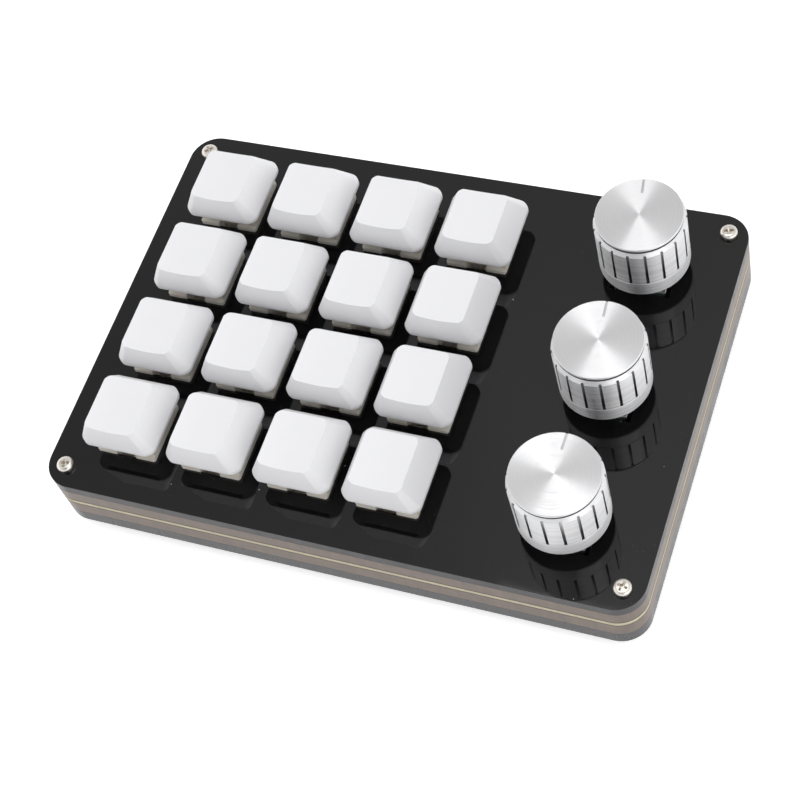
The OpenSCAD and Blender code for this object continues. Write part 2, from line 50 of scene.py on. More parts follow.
MM = 0.001
KEYS = [f"r{row}_c{column}" for row in range(1, 5) for column in range(1, 5)]
KNOB_TURNS = ((0.2, 11.4), (4.2, 2.0), (8.5, 2.0))  # Turn of each knob and of its slots, in degrees
POINTER, SLOT, SIDE, GROOVE = 1, 2, 3, 4  # Places of a knob's finishes after its plain metal
SCREW_TURN, SCREW_TURN_STEP = 0.2, 0.55  # Turn of the first screw and from each to the next
SHARP = 30  # An edge stays sharp, or is rounded, from this angle in degrees
TOUCH = 0.001 * MM  # Places nearer to each other than this are one
SKY_LEVELS = ((0.0, 0.62), (0.5, 1.0), (0.76, 0.55), (0.93, 0.95))  # Height on the sky and light there
WINGS = (1.0, 1.6, 0.45, 1.0)  # Light ahead and at the sides of the sky, and where it starts and stops growing
DARK_PATCHES = (  # Direction, light in the patch, and the cosines at its edge and its core
    ((0.15, -0.42, 0.9), 0.15, 0.88, 0.96),
    ((-0.4, 0.33, 0.85), 0.72, 0.982, 0.996),
)

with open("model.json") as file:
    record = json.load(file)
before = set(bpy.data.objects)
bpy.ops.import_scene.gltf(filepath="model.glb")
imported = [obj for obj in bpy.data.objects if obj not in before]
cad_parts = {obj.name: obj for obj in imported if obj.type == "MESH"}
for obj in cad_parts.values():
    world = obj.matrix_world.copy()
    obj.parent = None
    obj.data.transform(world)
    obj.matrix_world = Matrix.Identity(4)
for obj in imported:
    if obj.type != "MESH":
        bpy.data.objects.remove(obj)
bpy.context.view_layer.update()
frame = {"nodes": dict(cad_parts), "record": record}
for plain in list(bpy.data.materials):
    bpy.data.materials.remove(plain)


# ---- Settings ----


def length(name, text, millimetres):
    """A length, given in millimetres and kept in metres."""
    size = millimetres * MM
    return FloatProperty(name=name, description=text, default=size, min=0.0, unit="LENGTH", precision=5)


def colour(name, text, default):
    """A linear colour."""
    return FloatVectorProperty(name=name, description=text, default=default, min=0, max=1, subtype="COLOR")


def number(name, text, default):
    """A plain number."""
    return FloatProperty(name=name, description=text, default=default, min=0.0)


def angle(name, text, degrees):
    """An angle, given in degrees and kept in radians."""
    return FloatProperty(name=name, description=text, default=math.radians(degrees), subtype="ANGLE")


class KeycapSettings(bpy.types.PropertyGroup):
    """Sizes of the keycap that its box doesn't give."""

    top_width: length("Top width", "Width of the top before its edges are rounded", 11.8)
    top_depth: length("Top depth", "Depth of the top before its edges are rounded", 13.25)
    front_draft: length("Front draft", "How far the front leans back from skirt to top", 0.85)
    rim: length("Rim", "Height of the upright rim round the skirt", 0.8)
    corner: length("Corner radius", "Radius of the upright corners at the skirt", 2)
    top_corner: length("Top corner radius", "Radius of the upright corners at the top", 1.1)
    dish_radius: length("Dish radius", "Radius of the hollow across the top", 25)
    edge: length("Edge radius", "Rounding of the top's edge", 0.55)
    wall: length("Wall", "Thickness of the walls", 1.1)
    ceiling: length("Ceiling", "Height of the space inside", 5.8)
    socket: length("Socket", "Diameter of the socket under the top", 5.5)
    skirt_edge: length("Skirt edge", "Rounding between the upright rim and the sides", 0.12)
    travel: length("Travel", "How far a key goes down", 4)
    socket_foot: length("Socket foot", "Height of the socket's end above the skirt's", 0.71)
    socket_wall: length("Socket wall", "Thickness of the socket's wall", 0.62)
    socket_sunk: length("Socket sunk", "How far the socket reaches into the top", 0.2)
    socket_end: length("Socket end", "Height of the solid end over the socket's hole", 0.4)
    strips: IntProperty(name="Strips", description="Strips across the hollow", default=14, min=4, max=40)


class KnobSettings(bpy.types.PropertyGroup):
    """Sizes of the turned knob that its box doesn't give."""

    slots: IntProperty(name="Slots", description="Number of gripping slots", default=17, min=4, max=40)
    steps: IntProperty(name="Steps", description="Facets from slot to slot", default=6, min=3, max=16)
    band: length("Band", "Height of the plain band at the foot", 4.2)
    foot_edge: length("Foot edge", "Width of the broken edge at the foot", 0.2)
    line_half: length("Line half width", "Half width of the fine line round the band", 0.1)
    line_depth: length("Line depth", "Depth of the fine line round the band", 0.15)
    slot_depth: length("Slot depth", "Depth of the slots", 0.6)
    slot_reach: number("Slot reach", "Share of the sloping rim that the slots cut", 0.4)
    rim: length("Rim", "Height of the sloping rim", 0.95)
    groove: length("Groove", "Height of the groove below the disc", 0.7)
    groove_depth: length("Groove depth", "How far the groove goes in below the disc's edge", 0.55)
    disc: length("Disc", "Thickness of the disc on top", 0.55)
    disc_radius: length("Disc radius", "Radius of the disc on top", 9.52)
    disc_edge: length("Disc edge", "Width of the broken edge of the disc", 0.12)
    disc_overhang: length("Disc overhang", "How far the disc stands out over the rim", 0.08)
    hollow_radius: length("Hollow radius", "Radius of the hollow over the bushing", 4.8)
    hollow: length("Hollow", "Height of the hollow over the bushing", 2)
    pointer_start: length("Pointer start", "From the axis to the inner end of the pointer line", 5.6)
    pointer_width: length("Pointer width", "Width of the pointer line", 0.55)
    pointer_depth: length("Pointer depth", "Depth of the pointer line", 0.3)


class CaseSettings(bpy.types.PropertyGroup):
    """Edges of the layers, housings and feet, and sizes of the screws."""

    plate_edge: length("Plate edge", "Width of the broken edge of the plates", 0.12)
    spacer_edge: length("Spacer edge", "Width of the broken edge of the spacers and the board", 0.06)
    moulded_edge: length("Moulded edge", "Rounding of the moulded housings", 0.15)
    foot_edge: length("Foot edge", "Rounding of the rubber feet", 0.3)
    flange: length("Flange", "Width of the switch flanges", 14.2)
    flange_depth: length("Flange depth", "Front-to-back size of the switch flanges", 14.5)
    flange_inside: length("Flange inside", "Half width of the housings that stays as it is", 6.96)
    flange_corner: length("Flange corner", "Cut at the corners of the switch flanges", 0.28)
    pocket_width: length("Pocket width", "Width of the clip pockets in the switch flanges", 4.8)
    pocket_back: length("Pocket back", "From the middle of a switch to its clip pocket's back wall", 5.2)
    pocket_depth: length("Pocket depth", "Depth of the clip pockets under the top plate's face", 3)
    hood_foot: length("Hood foot", "Half depth of the switch hoods at their feet", 6.2)
    head_radius: length("Head radius", "Radius of the screw heads", 2)
    head: length("Head", "Height of the screw heads", 1.5)
    head_round: length("Head rounding", "Rounding of the screw heads", 0.85)
    cross_length: length("Cross length", "Length of the cross recess", 2.3)
    cross_width: length("Cross width", "Width of the cross recess", 0.65)
    cross_depth: length("Cross depth", "Depth of the cross recess", 0.95)
    cross_taper: number("Cross taper", "Share of the cross recess's size at its floor", 0.45)
    shank: length("Shank", "Radius of the screws' plain shank", 1)
    shank_tip: length("Shank tip", "Radius of the screws' tip", 0.7)
    crest: length("Thread crest", "Radius of the thread's crests", 0.98)
    root: length("Thread root", "Radius of the thread's roots", 0.84)
    thread_start: length("Thread start", "Length of the plain tip before the thread", 0.3)
    thread_end: length("Thread end", "Height over the tip where the thread ends", 5)
    pitch: length("Thread pitch", "Pitch of the thread", 0.4)


class FinishSettings(bpy.types.PropertyGroup):
    """Colours of the finishes."""

    keycap: colour("Keycap", "White of the keycaps", (0.83, 0.83, 0.85))
    acrylic: colour("Top plate", "Black of the top plate", (0.004, 0.004, 0.0045))
    acrylic_edge: colour("Top plate edge", "Cut edge of the top plate", (0.021, 0.02, 0.024))
    base: colour("Bottom plate", "Dark grey of the bottom plate", (0.06, 0.06, 0.065))
    smoke: colour("Spacers", "Smoke brown of the spacers", (0.17, 0.13, 0.107))
    board: colour("Board", "Mask of the circuit board", (0.01, 0.03, 0.015))
    board_edge: colour("Board edge", "Pale core in the cut edge of the circuit board", (0.56, 0.5, 0.37))
    board_rim: colour("Board rim", "Dark borders of the cut edge of the circuit board", (0.1, 0.08, 0.05))
    housing: colour("Switch housing", "Milky beige of the lower housings", (0.86, 0.82, 0.74))
    hood: colour("Switch hood", "Milky clear of the upper housings", (0.66, 0.62, 0.56))
    stem: colour("Stem", "Brown of the stems", (0.25, 0.13, 0.06))
    nickel: colour("Screws", "Warm nickel of the screws", (0.82, 0.78, 0.72))
    aluminium: colour("Knobs", "Bright aluminium of the knobs", (0.82, 0.82, 0.83))
    steel: colour("Steel", "Tinned steel of the encoders and the socket", (0.62, 0.62, 0.62))
    phenolic: colour("Encoder base", "Green brown moulding of the encoders", (0.07, 0.1, 0.08))
    brass: colour("Contacts", "Stamped brass of the pins", (0.72, 0.53, 0.25))
    rubber: colour("Feet", "Black rubber of the feet", (0.018, 0.018, 0.018))
    epoxy: colour("Chips", "Black epoxy of the chip and the diodes", (0.012, 0.012, 0.012))
    dust: colour("Dust", "Pale specks on the black plate", (0.4, 0.4, 0.4))


class StudioSettings(bpy.types.PropertyGroup):
    """Camera, floor and light."""

    place: FloatVectorProperty(
        name="Camera place", description="Where the camera stands", subtype="TRANSLATION",
        unit="LENGTH", default=(0.13683, -0.19279, 0.36314),
    )
    azimuth: angle("Azimuth", "Turn of the view round the keypad", 36.14)
    elevation: angle("Elevation", "Tilt of the view down", 57)
    roll: angle("Roll", "Roll of the view", -20.39)
    lens: FloatProperty(name="Lens", description="Focal length on a 36 mm sensor", default=84.54, min=10)
    floor: colour("Floor", "Pale floor", (0.9, 0.9, 0.9))
    glow: number("Glow", "Light added to the floor and kept from shading the keypad", 0.54)
    sky: number("Sky", "Strength of the even light from all round", 1.0)
    overhead: number("Overhead lamp", "Power of the soft lamp overhead", 0.68)
    fill: number("Fill lamp", "Power of the soft lamp beside the camera", 0.8)


SETTINGS = {
    "keypad_keycap": KeycapSettings,
    "keypad_knob": KnobSettings,
    "keypad_case": CaseSettings,
    "keypad_finish": FinishSettings,
    "keypad_studio": StudioSettings,
}


# ---- Meshes ----


def stored(name, bm):
    """A mesh made of a bmesh, which is then freed."""
    mesh = bpy.data.meshes.new(name)
    bm.to_mesh(mesh)
    bm.free()
    return mesh


def opened(mesh):
    """A bmesh made of a mesh."""
    bm = bmesh.new()
    bm.from_mesh(mesh)
    return bm


def placed(name, data):
    """An object in the scene."""
    made = bpy.data.objects.new(name, data)
    bpy.context.scene.collection.objects.link(made)
    return made


def dress(name, bm, body, replaced, materials, sharp=SHARP):
    """Makes a piece of a bmesh: shaded, finished, riding on its body and standing for a CAD node."""
    mesh = stored(name, bm)
    for material in materials:
        mesh.materials.append(finish(material))
    mesh.shade_smooth()
    mesh.set_sharp_from_angle(angle=math.radians(sharp))
    piece = placed(name, mesh)
    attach(piece, body)
    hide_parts(replaced)
    return piece


def weigh(piece):
    """Lets the large faces of a piece keep their own direction beside its rounded edges."""
    weighted = piece.modifiers.new("Weighted normals", "WEIGHTED_NORMAL")
    weighted.keep_sharp = True
    weighted.weight = 60


def face_parts(faces):
    """Faces with their edges and vertices, as the bmesh operators take them."""
    edges = {edge for face in faces for edge in face.edges}
    verts = {vert for face in faces for vert in face.verts}
    return [*faces, *edges, *verts]


def lies_at(item, z):
    """Whether all of a face or an edge lies at one height."""
    return all(abs(vert.co.z - z) < TOUCH for vert in item.verts)


def level_faces(bm, z):
    """Faces that lie flat at one height."""
    return [face for face in bm.faces if lies_at(face, z)]


def cut(bm, faces, axis, place, near=0.0001 * MM):
    """Cuts faces by the plane across one axis at one place."""
    along = Matrix.Identity(3)[axis]
    bmesh.ops.bisect_plane(bm, geom=face_parts(faces), plane_co=along * place, plane_no=along, dist=near)


def merge(bm):
    """Makes vertices that have come together one."""
    bmesh.ops.remove_doubles(bm, verts=bm.verts, dist=TOUCH)


def join_flat(bm):
    """Joins neighbours that lie in one plane."""
    bmesh.ops.dissolve_limit(bm, angle_limit=math.radians(0.5), verts=bm.verts, edges=bm.edges)


def bevel(bm, edges, width, segments=2, profile=0.5):
    """Rounds edges: a profile of half is a quarter circle, and less is flatter."""
    bmesh.ops.bevel(
        bm, geom=edges, offset=width, offset_type="OFFSET", segments=segments, profile=profile,
        affect="EDGES", material=-1, clamp_overlap=True,
    )


def sharp_edges(bm):
    """Edges where two faces meet at a sharp angle."""
    limit = math.radians(SHARP)
    return [edge for edge in bm.edges if len(edge.link_faces) == 2 and edge.calc_face_angle(0) > limit]


def pushed(bm, faces, move):
    """Extrudes faces and moves their new vertices by a function."""
    made = bmesh.ops.extrude_face_region(bm, geom=face_parts(faces))["geom"]
    for vert in [item for item in made if isinstance(item, bmesh.types.BMVert)]:
        vert.co = move(vert.co)
    return [item for item in made if isinstance(item, bmesh.types.BMFace)]


def turned(profile, steps, start=0.0):
    """A solid of revolution about Z from (radius, height) pairs that start and end on the axis."""
    bm = bmesh.new()
    verts = [bm.verts.new((radius * math.cos(start), radius * math.sin(start), z)) for radius, z in profile]
    for first, second in zip(verts, verts[1:]):
        bm.edges.new((first, second))
    bmesh.ops.spin(
        bm, geom=bm.verts[:] + bm.edges[:], cent=(0, 0, 0), axis=(0, 0, 1), angle=2 * math.pi,
        steps=steps, use_merge=True, use_duplicate=False,
    )
    merge(bm)
    bmesh.ops.recalc_face_normals(bm, faces=bm.faces)
    return bm


def key_centres():
    """The middle of every key, seen from above."""
    return [((low + high) / 2).xy for low, high in (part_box("stem_" + key) for key in KEYS)]


def dressed_copy(name, edge, segments, slot, side=None, shape=None):
    """Dresses a node of the case in a copy with broken edges, and another finish on its sides if asked."""
    bm = opened(frame["nodes"][name].data)
    merge(bm)
    join_flat(bm)
    if shape:
        shape(bm)
    bevel(bm, sharp_edges(bm), edge, segments)
    bm.normal_update()
    materials = [slot]
    if side:
        materials.append(side)
        for face in bm.faces:
            face.material_index = int(abs(face.normal.z) < 0.9)
    weigh(dress("fine_" + name, bm, "case", name, materials))


# ---- Node trees ----


def feed(tree, socket, value):
    """Gives an input a number, a colour or another node's output."""
    if isinstance(value, bpy.types.NodeSocket):
        tree.links.new(value, socket)
    elif socket.type == "RGBA" and len(value) == 3:
        socket.default_value = (*value, 1.0)
    else:
        socket.default_value = value


def feed_all(tree, made, inputs):
    """Gives a node its inputs."""
    for name, value in inputs.items():
        feed(tree, made.inputs[name], value)


def node(tree, kind, inputs, **settings):
    """Adds a shader node with its inputs and settings."""
    made = tree.nodes.new("ShaderNode" + kind)
    for name, value in settings.items():
        setattr(made, name, value)
    feed_all(tree, made, inputs)
    return made


def maths(tree, operation, first, second=0.0, clamp=False):
    """The result of a sum on one or two values."""
    return node(tree, "Math", {0: first, 1: second}, operation=operation, use_clamp=clamp).outputs[0]


def mixed(tree, factor, first, second):
    """A colour between two."""
    return node(tree, "Mix", {0: factor, 6: first, 7: second}, data_type="RGBA").outputs[2]


def spread(tree, value, low, high, start=0.0, end=1.0):
    """A value stretched from one range to another."""
    inputs = {"Value": value, "From Min": start, "From Max": end, "To Min": low, "To Max": high}
    return node(tree, "MapRange", inputs).outputs["Result"]


def parts_of(tree, vector):
    """The outputs X, Y and Z of a vector."""
    return node(tree, "SeparateXYZ", {0: vector}).outputs


def noise(tree, vector, scale, detail=3.0, roughness=0.5):
    """Noise of one size, from nought to one."""
    inputs = {"Vector": vector, "Scale": scale, "Detail": detail, "Roughness": roughness}
    return node(tree, "TexNoise", inputs).outputs["Fac"]


def group(name, values, outputs, fill):
    """A shader node group, built once: a vector and values go in, and values come out."""
    made = bpy.data.node_groups.get(name)
    if made:
        return made
    made = bpy.data.node_groups.new(name, "ShaderNodeTree")
    made.interface.new_socket(name="Vector", in_out="INPUT", socket_type="NodeSocketVector")
    for label, default in values.items():
        socket = made.interface.new_socket(name=label, in_out="INPUT", socket_type="NodeSocketFloat")
        socket.default_value = default
    for label in outputs:
        made.interface.new_socket(name=label, in_out="OUTPUT", socket_type="NodeSocketFloat")
    entry = made.nodes.new("NodeGroupInput")
    exit_node = made.nodes.new("NodeGroupOutput")
    feed_all(made, exit_node, fill(made, entry.outputs))
    return made


def grain_group():
    """Fine moulded grain, with a slow mottle for colour and gloss."""

    def fill(tree, given):
        fine = noise(tree, given["Vector"], given["Scale"], 2.0)
        slow = noise(tree, given["Vector"], maths(tree, "MULTIPLY", given["Scale"], 0.06), 3.0)
        return {"Height": fine, "Mottle": slow}

    return group("Moulded grain", {"Scale": 4000.0}, ["Height", "Mottle"], fill)


def dust_group():
    """Scattered specks: a mask that is one on a speck."""

    def fill(tree, given):
        cells = node(tree, "TexVoronoi", {"Vector": given["Vector"], "Scale": given["Scale"]})
        chance = node(tree, "SeparateColor", {"Color": cells.outputs["Color"]})
        chosen = maths(tree, "LESS_THAN", chance.outputs[0], given["Share"])
        size = maths(tree, "MULTIPLY", chance.outputs[1], given["Size"])
        near = spread(tree, maths(tree, "SUBTRACT", cells.outputs["Distance"], size), 1.0, 0.0, 0.0, 0.05)
        return {"Mask": maths(tree, "MULTIPLY", chosen, near)}

    return group("Dust specks", {"Scale": 600.0, "Share": 0.06, "Size": 0.12}, ["Mask"], fill)


def smear_group():
    """Faint wiped smears on a polished face."""

    def fill(tree, given):
        lie = {"Vector": given["Vector"], "Rotation": (0.0, 0.0, 0.6), "Scale": (60.0, 260.0, 60.0)}
        drawn = node(tree, "Mapping", lie)
        wide = noise(tree, drawn.outputs["Vector"], 1.0, 4.0, 0.6)
        return {"Smear": spread(tree, wide, 0.0, 1.0, 0.45, 0.75)}

    return group("Wiped smears", {}, ["Smear"], fill)


def saw_group():
    """Upright streaks and blotches of a cut edge."""

    def fill(tree, given):
        drawn = node(tree, "Mapping", {"Vector": given["Vector"], "Scale": (1.0, 1.0, 0.12)})
        streak = noise(tree, drawn.outputs["Vector"], given["Scale"], 3.0, 0.6)
        blotch = noise(tree, given["Vector"], maths(tree, "MULTIPLY", given["Scale"], 0.25), 2.0)
        both = maths(tree, "MULTIPLY", maths(tree, "ADD", streak, blotch), 0.5)
        return {"Streak": spread(tree, both, 0.0, 1.0, 0.3, 0.7)}

    return group("Cut edge", {"Scale": 900.0}, ["Streak"], fill)


def ring_group():
    """Fine turning marks round an upright axis."""

    def fill(tree, given):
        place = given["Vector"]
        flat = node(tree, "VectorMath", {0: place, 1: (1.0, 1.0, 0.0)}, operation="MULTIPLY")
        radius = node(tree, "VectorMath", {0: flat.outputs[0]}, operation="LENGTH")
        inputs = {"X": radius.outputs["Value"], "Z": parts_of(tree, place)["Z"]}
        across = node(tree, "CombineXYZ", inputs).outputs[0]
        marks = noise(tree, across, given["Scale"], 4.0, 0.7)
        return {"Marks": spread(tree, marks, 0.0, 1.0, 0.3, 0.7)}

    return group("Turning marks", {"Scale": 2500.0}, ["Marks"], fill)


# ---- Finishes ----


def colours():
    """The colours in use."""
    return bpy.context.scene.keypad_finish


def new_finish(name):
    """A new material as its tree, its Principled shader and its object coordinates."""
    material = bpy.data.materials.new(name)
    material.use_nodes = True
    tree = material.node_tree
    place = node(tree, "TexCoord", {}).outputs["Object"]
    return tree, tree.nodes["Principled BSDF"], place


def use(tree, group_tree, **inputs):
    """Places a node group in a material."""
    return node(tree, "Group", inputs, node_tree=group_tree).outputs


def raise_surface(tree, shader, height, depth):
    """Bumps a surface by a height map, to a depth in metres."""
    bump = node(tree, "Bump", {"Height": height, "Distance": depth, "Strength": 1.0})
    feed(tree, shader.inputs["Normal"], bump.outputs["Normal"])


def shaded(value, factor):
    """A colour made lighter or darker."""
    return tuple(min(1.0, channel * factor) for channel in value)


def moulded(name, base, roughness, scale=4000.0, depth=0.004, shade=0.96, swing=0.04):
    """Moulded plastic, rubber or epoxy: fine grain, and a slight change of colour and gloss."""
    tree, shader, place = new_finish(name)
    grain = use(tree, grain_group(), Vector=place, Scale=scale)
    tone = mixed(tree, grain["Mottle"], shaded(base, shade), base)
    gloss = spread(tree, grain["Mottle"], roughness - swing, roughness + swing, 0.3, 0.7)
    feed_all(tree, shader, {"Base Color": tone, "Roughness": gloss})
    raise_surface(tree, shader, grain["Height"], depth * MM)
    return tree, shader, place


def milky(name, base, roughness):
    """Milky plastic that lets some light through."""
    tree, shader, place = moulded(name, base, roughness, scale=2500.0, depth=0.003, shade=0.88)
    shader.inputs["Subsurface Weight"].default_value = 0.25
    shader.inputs["Subsurface Radius"].default_value = (1.0, 0.8, 0.6)
    shader.inputs["Subsurface Scale"].default_value = 0.6 * MM


def polished(name, base):
    """Polished black sheet with dust and faint smears."""
    tree, shader, place = new_finish(name)
    coarse = use(tree, dust_group(), Vector=place, Scale=600.0, Share=0.02, Size=0.08)["Mask"]
    fine = use(tree, dust_group(), Vector=place, Scale=1700.0, Share=0.16, Size=0.12)["Mask"]
    patches = spread(tree, noise(tree, place, 45.0, 2.0), 0.0, 0.45, 0.45, 0.7)
    dust = maths(tree, "ADD", coarse, maths(tree, "MULTIPLY", fine, patches), clamp=True)
    smear = use(tree, smear_group(), Vector=place)["Smear"]
    tone = mixed(tree, dust, base, colours().dust)
    gloss = maths(tree, "ADD", spread(tree, smear, 0.035, 0.075), maths(tree, "MULTIPLY", dust, 0.5))
    feed_all(tree, shader, {"Base Color": tone, "Roughness": gloss, "IOR": 1.49})


def cut_edge(name, base, roughness, contrast, scale=900.0):
    """The sawn and flame-polished side of a sheet."""
    tree, shader, place = new_finish(name)
    streak = use(tree, saw_group(), Vector=place, Scale=scale)["Streak"]
    tone = mixed(tree, streak, shaded(base, 1 - contrast), shaded(base, 1 + contrast))
    gloss = spread(tree, streak, roughness - 0.08, roughness + 0.08)
    feed_all(tree, shader, {"Base Color": tone, "Roughness": gloss, "IOR": 1.35})
    raise_surface(tree, shader, streak, 0.01 * MM)
    return tree, shader, place


def board_edge(name, base):
    """The cut edge of the board: a pale core between two dark borders."""
    tree, shader, place = cut_edge(name, base, 0.6, 0.2, 1500.0)
    core = shader.inputs["Base Color"].links[0].from_socket
    low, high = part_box("circuit_board")
    off = maths(tree, "ABSOLUTE", maths(tree, "SUBTRACT", parts_of(tree, place)["Z"], (low.z + high.z) / 2))
    border = spread(tree, off, 0.0, 1.0, 0.48 * MM, 0.56 * MM)
    feed(tree, shader.inputs["Base Color"], mixed(tree, border, core, colours().board_rim))


def bare_metal(name, base, roughness):
    """Stamped, tinned or drawn metal with light handling marks."""
    tree, shader, place = moulded(name, base, roughness, scale=1500.0, depth=0.002, shade=0.86, swing=0.08)
    shader.inputs["Metallic"].default_value = 1.0
    return tree, shader, place


def spun_metal(name, centre, base, roughness, contrast):
    """Bright turned metal whose marks run round an upright axis."""
    tree, shader, place = new_finish(name)
    local = node(tree, "Mapping", {"Vector": place, "Location": (-centre.x, -centre.y, 0.0)})
    marks = use(tree, ring_group(), Vector=local.outputs["Vector"], Scale=2500.0)["Marks"]
    tone = mixed(tree, marks, shaded(base, 1 - contrast), shaded(base, 1 + contrast))
    gloss = spread(tree, marks, roughness - 0.05, roughness + 0.05, 0.3, 0.7)
    around = node(tree, "Tangent", {}, direction_type="RADIAL", axis="Z").outputs["Tangent"]
    feed_all(tree, shader, {"Base Color": tone, "Roughness": gloss, "Tangent": around})
    feed_all(tree, shader, {"Metallic": 1.0, "Anisotropic": 1.0, "Anisotropic Rotation": 0.25})


def slot_metal_painted_shade(name, base, foot, rise):
    """Metal of the slots, with painted shade: dark at their foot and bright where they run out at the rim."""
    tree, shader, place = bare_metal(name, base, 0.4)
    bright = shader.inputs["Base Color"].links[0].from_socket
    # Painted shade: the slot colour darkens towards the slots' foot, where they lie deep in shade
    up = spread(tree, parts_of(tree, place)["Z"], 0.0, 1.0, foot + 0.25 * rise, foot + rise)
    feed(tree, shader.inputs["Base Color"], mixed(tree, up, shaded(base, 0.2), bright))


def finish(name):
    """The material of that name, built the first time it is asked for."""
    made = bpy.data.materials.get(name)
    if made:
        return made
    c = colours()
    looks = {
        "top_acrylic": (polished, c.acrylic),
        "top_acrylic_edge": (cut_edge, c.acrylic_edge, 0.3, 0.15),
        "bottom_acrylic": (cut_edge, c.base, 0.3, 0.12),
        "smoked_acrylic": (cut_edge, c.smoke, 0.35, 0.3),
        "circuit_board": (moulded, c.board, 0.35),
        "circuit_board_edge": (board_edge, c.board_edge),
        "keycap_white": (moulded, c.keycap, 0.42, 5000.0, 0.003, 0.985),
        "switch_base_plastic": (milky, c.housing, 0.35),
        "switch_hood_plastic": (milky, c.hood, 0.25),
        "stem_plastic": (moulded, c.stem, 0.35),
        "encoder_plastic": (moulded, c.phenolic, 0.45),
        "rotor_plastic": (moulded, c.hood, 0.4),
        "foot_rubber": (moulded, c.rubber, 0.7, 2500.0, 0.01, 0.8),
        "chip_epoxy": (moulded, c.epoxy, 0.5),
        "diode_epoxy": (moulded, c.epoxy, 0.4),
        "pointer_floor": (bare_metal, shaded(c.aluminium, 0.8), 0.5),
        "groove_shade": (bare_metal, shaded(c.aluminium, 0.3), 0.5),
        "nickel_screw": (bare_metal, c.nickel, 0.28),
        "spring_steel": (bare_metal, c.steel, 0.25),
        "contact_brass": (bare_metal, c.brass, 0.3),
        "encoder_steel": (bare_metal, c.steel, 0.3),
        "tinned_lead": (bare_metal, c.steel, 0.4),
        "shaft_metal": (bare_metal, c.steel, 0.3),
        "socket_steel": (bare_metal, c.steel, 0.25),
    }
    build, *look = looks[name]
    build(name, *look)
    return bpy.data.materials[name]


# ---- Operators ----


class KEYPAD_OT_layers(bpy.types.Operator):
    """Breaks the edges of the plates, spacers and board, and gives their sides the finish of a cut edge"""

    bl_idname = "keypad.layers"
    bl_label = "Layers"

    def execute(self, context):
        case = context.scene.keypad_case
        dressed_copy("top_plate", case.plate_edge, 1, "top_acrylic", "top_acrylic_edge")
        dressed_copy("upper_spacer", case.spacer_edge, 1, "smoked_acrylic")
        dressed_copy("circuit_board", case.spacer_edge, 1, "circuit_board", "circuit_board_edge")
        dressed_copy("lower_spacer", case.spacer_edge, 1, "smoked_acrylic")
        dressed_copy("bottom_plate", case.plate_edge, 1, "bottom_acrylic")
        return {"FINISHED"}


class KEYPAD_OT_mouldings(bpy.types.Operator):
    """Rounds the moulded switch housings, the encoder frames, the nuts, the feet and the socket"""

    bl_idname = "keypad.mouldings"
    bl_label = "Housings and feet"

    def execute(self, context):
        case = context.scene.keypad_case
        lower, upper = "switch_base_plastic", "switch_hood_plastic"
        dressed_copy("switch_lower_housings", case.moulded_edge, 2, lower, shape=draw_in_flanges)
        dressed_copy("switch_upper_housings", case.moulded_edge, 2, upper, shape=draw_in_hoods)
        dressed_copy("encoder_frames", case.spacer_edge, 1, "encoder_steel")
        dressed_copy("case_nuts", case.spacer_edge, 1, "nickel_screw")
        dressed_copy("rubber_feet", case.foot_edge, 3, "foot_rubber")
        dressed_copy("usb_socket", case.spacer_edge, 1, "socket_steel")
        return {"FINISHED"}


def from_key(vert, centres):
    """A vertex's place seen from the middle of its key."""
    return vert.co.xy - min(centres, key=lambda place: (vert.co.xy - place).length)


def slide(vert, off, axis, distance):
    """Moves a vertex along X or Y to a distance from the middle of its key."""
    vert.co[axis] += math.copysign(distance, off[axis]) - off[axis]


def clean(bm):
    """Merges what has come together and joins flat neighbours."""
    merge(bm)
    bmesh.ops.dissolve_degenerate(bm, dist=0.0001 * MM, edges=bm.edges)
    join_flat(bm)


def draw_in_flanges(bm):
    """Draws the switch flanges in and cuts the clip pockets in their front and back sides."""
    case = bpy.context.scene.keypad_case
    centres = key_centres()
    half = case.pocket_width / 2
    notch = half + 0.5 * MM  # The notch of the CAD's flange ends within this of the middle,
    beside = half + 0.1 * MM  # and its corners go to here, clear of the pocket's walls
    for vert in bm.verts:
        off = from_key(vert, centres)
        if abs(off.y) > case.flange_inside and abs(off.x) < case.flange_inside:
            slide(vert, off, 1, case.flange_depth / 2)
            if abs(off.x) < notch:
                slide(vert, off, 0, beside)
        elif abs(off.x) > case.flange_inside and abs(off.y) < case.flange_inside:
            slide(vert, off, 0, case.flange / 2)
        else:
            for axis, size in enumerate((case.flange, case.flange_depth)):
                if abs(off[axis]) > case.flange_inside:
                    cut_corner = abs(off[axis]) < abs(off[1 - axis])
                    slide(vert, off, axis, size / 2 - (case.flange_corner if cut_corner else 0))
    clean(bm)
    thin = 0.02 * MM  # Width of the strips that become the pocket's walls and floor
    fine = 0.00001 * MM
    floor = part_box("top_plate")[1].z - case.pocket_depth
    for x in {round(centre.x, 6) for centre in centres}:
        for place in (x - half, x - half + thin, x + half - thin, x + half):
            cut(bm, bm.faces, 0, place, fine)
    for z in (floor, floor - thin):
        cut(bm, bm.faces, 2, z, fine)
    for vert in bm.verts:
        off = from_key(vert, centres)
        inside = abs(off.x) < half - thin / 2 and vert.co.z > floor - thin / 2
        if inside and abs(off.y) > case.pocket_back:
            slide(vert, off, 1, case.pocket_back)
    clean(bm)


def draw_in_hoods(bm):
    """Draws the feet of the switch hoods in over the clip pockets."""
    case = bpy.context.scene.keypad_case
    centres = key_centres()
    for vert in bm.verts:
        off = from_key(vert, centres)
        if abs(off.y) > case.hood_foot:
            slide(vert, off, 1, case.hood_foot)


